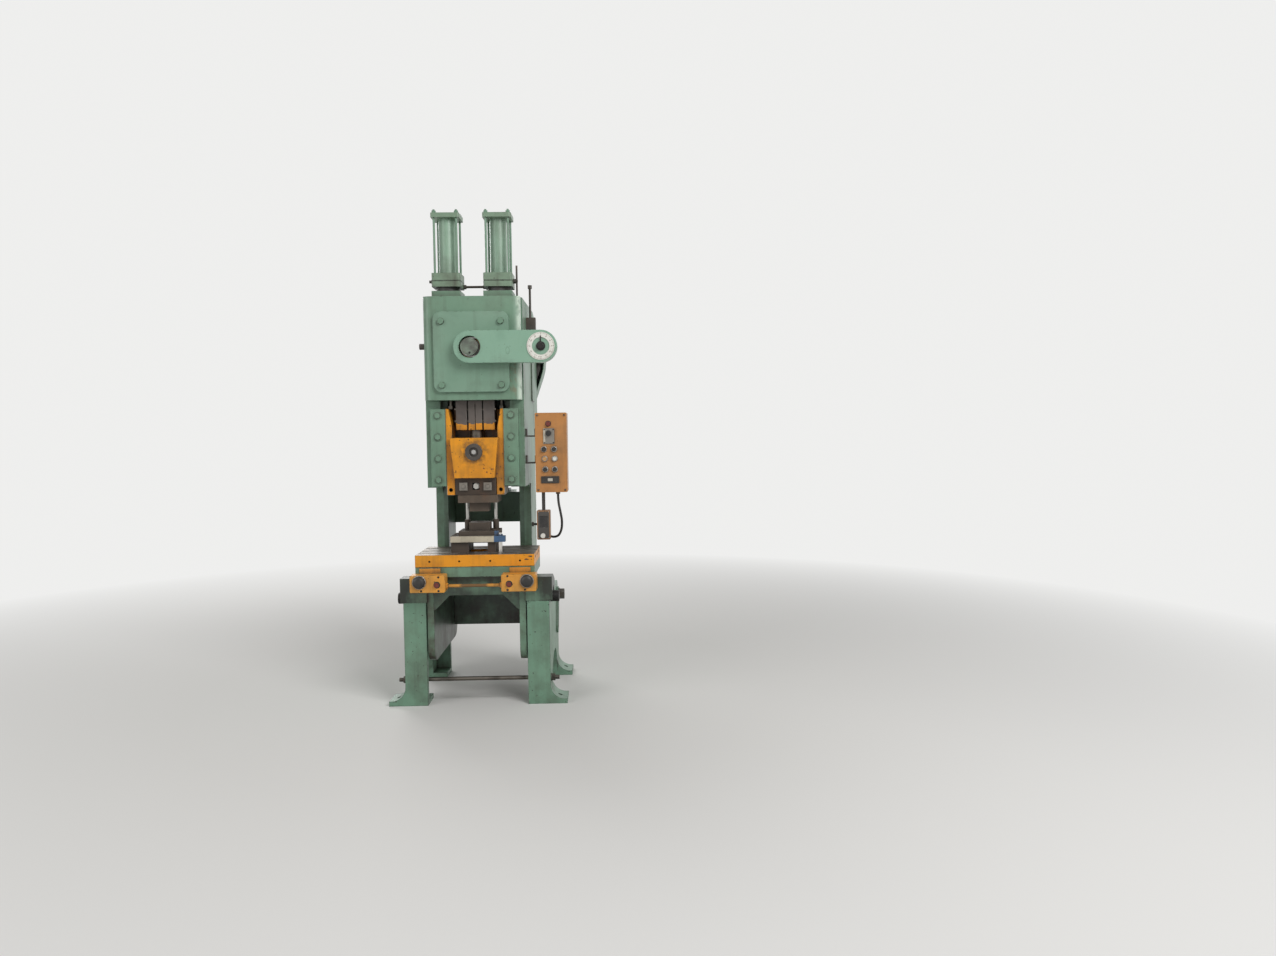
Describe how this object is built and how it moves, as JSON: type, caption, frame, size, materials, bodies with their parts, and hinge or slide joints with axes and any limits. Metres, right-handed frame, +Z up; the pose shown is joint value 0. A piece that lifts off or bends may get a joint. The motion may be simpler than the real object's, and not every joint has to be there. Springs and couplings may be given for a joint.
{
  "type": "mechanical stamping press",
  "caption": "Inclinable gap-frame mechanical stamping press with air balancers, crank drive, T-slotted bolster, die set and two-hand controls.",
  "frame": {"origin": "on the floor, midway between the four anchor holes", "axes": "+Z up, +X to the operator's right, +Y away from the operator"},
  "size_m": [1.045, 1.411, 2.857],
  "materials": {
    "green_paint": "aged gloss paint, chipped at the edges",
    "yellow_paint": "aged gloss paint, chipped",
    "orange_paint": "aged paint",
    "grey_paint": "satin",
    "teal_paint": "satin",
    "white_paint": "satin",
    "dark_iron": "oiled",
    "steel": "machined",
    "chrome_steel": "polished",
    "bronze": "machined bronze",
    "black_plastic": "satin",
    "red_plastic": "gloss",
    "rubber": "matte"
  },
  "bodies": {
    "base": {"leg_left": "green_paint", "leg_right": "green_paint", "tie_rod": "steel"},
    "frame": {"side_plates": "green_paint", "crown": "green_paint", "bed": "green_paint", "pivot_pins": "dark_iron", "clamp_bolts": "dark_iron", "front_cover": "green_paint", "cover_bolts": "green_paint", "main_bushes": "bronze", "gibs": "green_paint", "gib_bolts": "green_paint", "bolster": "yellow_paint", "arm_case": "green_paint", "dial_ring": "white_paint", "timing_chain": "steel", "balancer_caps": "green_paint", "balancer_tubes": "green_paint", "balancer_tie_rods": "green_paint", "air_pipe": "dark_iron", "motor_bracket": "green_paint", "motor": "teal_paint", "drive_belts": "rubber", "belt_guard": "green_paint", "control_box": "orange_paint", "control_panel": "orange_paint", "signal_lamp": "red_plastic", "control_brackets": "dark_iron", "switch_box": "grey_paint", "control_cable": "rubber", "button_boxes": "yellow_paint", "button_conduit": "dark_iron", "lower_die": "dark_iron"},
    "crank": {"crankshaft": "steel", "crank_end_cap": "dark_iron", "clutch_disc": "dark_iron"},
    "flywheel": {"flywheel": "dark_iron"},
    "pulley": {"motor_pulley": "dark_iron"},
    "pointer": {"dial_pointer": "dark_iron"},
    "rod": {"connecting_rod": "dark_iron", "rod_bolts": "steel"},
    "slide": {"slide": "yellow_paint", "shank_clamp": "dark_iron", "shaft_flange": "dark_iron", "ball_seat": "bronze", "balancer_rods": "steel", "upper_die": "dark_iron", "die_posts": "chrome_steel"},
    "screw": {"adjusting_screw": "steel"},
    "adjuster": {"adjusting_shaft": "steel"},
    "key": {"key_switch": "black_plastic"},
    "mode": {"mode_switch": "black_plastic"},
    "start": {"start_button": "white_paint"},
    "stop": {"stop_button": "black_plastic"},
    "switch": {"switch_knob": "white_paint"},
    "palm_left": {"palm_button_left": "black_plastic"},
    "palm_right": {"palm_button_right": "black_plastic"},
    "small_left": {"small_button_left": "red_plastic"},
    "small_right": {"small_button_right": "red_plastic"}
  },
  "joints": [
    {"name": "frame_tilt", "type": "hinge", "parent": "base", "child": "frame", "pos_m": [0, -0.28, 0.61], "axis": [-1, 0, 0], "range_deg": [0, 20]},
    {"name": "crank_turn", "type": "hinge", "parent": "frame", "child": "crank", "pos_m": [0, -0.235, 2.06], "axis": [0, 1, 0], "range_deg": [0, 180]},
    {"name": "ram_stroke", "type": "slide", "parent": "frame", "child": "rod", "axis": [0, 0, 1], "range_m": [-0.05, 0]},
    {"name": "screw_turn", "type": "hinge", "parent": "slide", "child": "screw", "pos_m": [0, -0.235, 1.392], "axis": [0, 0, 1], "range_deg": [0, 2400]},
    {"name": "die_height", "type": "slide", "parent": "rod", "child": "slide", "axis": [0, 0, 1], "range_m": [0, 0.04]},
    {"name": "adjusting_turn", "type": "hinge", "parent": "slide", "child": "adjuster", "pos_m": [0, -0.33, 1.465], "axis": [0, 1, 0], "range_deg": [0, 4800]},
    {"name": "flywheel_spin", "type": "hinge", "parent": "frame", "child": "flywheel", "pos_m": [0, 0.738, 2.06], "axis": [0, 1, 0], "continuous": true},
    {"name": "pulley_spin", "type": "hinge", "parent": "frame", "child": "pulley", "pos_m": [0, 0.738, 1.3], "axis": [0, 1, 0], "continuous": true},
    {"name": "pointer_turn", "type": "hinge", "parent": "frame", "child": "pointer", "pos_m": [0.4, -0.44, 2.06], "axis": [0, 1, 0], "range_deg": [0, 180]},
    {"name": "key_turn", "type": "hinge", "parent": "frame", "child": "key", "pos_m": [0.4235, -0.29, 1.5675], "axis": [0, -1, 0], "range_deg": [0, 90]},
    {"name": "mode_turn", "type": "hinge", "parent": "frame", "child": "mode", "pos_m": [0.3955, -0.29, 1.4745], "axis": [0, -1, 0], "range_deg": [-45, 45]},
    {"name": "switch_turn", "type": "hinge", "parent": "frame", "child": "switch", "pos_m": [0.382, -0.288, 0.968], "axis": [0, -1, 0], "range_deg": [0, 90]},
    {"name": "start_press", "type": "slide", "parent": "frame", "child": "start", "axis": [0, 1, 0], "range_m": [0, 0.005], "stiffness_N_per_m": 1500, "springref_m": -0.002},
    {"name": "stop_press", "type": "slide", "parent": "frame", "child": "stop", "axis": [0, 1, 0], "range_m": [0, 0.005], "stiffness_N_per_m": 1500, "springref_m": -0.002},
    {"name": "palm_left_press", "type": "slide", "parent": "frame", "child": "palm_left", "axis": [0, 1, 0], "range_m": [0, 0.008], "stiffness_N_per_m": 1500, "springref_m": -0.002},
    {"name": "palm_right_press", "type": "slide", "parent": "frame", "child": "palm_right", "axis": [0, 1, 0], "range_m": [0, 0.008], "stiffness_N_per_m": 1500, "springref_m": -0.002},
    {"name": "small_left_press", "type": "slide", "parent": "frame", "child": "small_left", "axis": [0, 1, 0], "range_m": [0, 0.005], "stiffness_N_per_m": 1500, "springref_m": -0.002},
    {"name": "small_right_press", "type": "slide", "parent": "frame", "child": "small_right", "axis": [0, 1, 0], "range_m": [0, 0.005], "stiffness_N_per_m": 1500, "springref_m": -0.002}
  ],
  "couplings": [
    {"joint": "ram_stroke", "follows": "crank_turn", "m_per_rad": -0.0159},
    {"joint": "pointer_turn", "follows": "crank_turn", "ratio": 1},
    {"joint": "die_height", "follows": "screw_turn", "m_per_rad": 0.000954},
    {"joint": "adjusting_turn", "follows": "screw_turn", "ratio": 2},
    {"joint": "pulley_spin", "follows": "flywheel_spin", "ratio": 5.35}
  ]
}
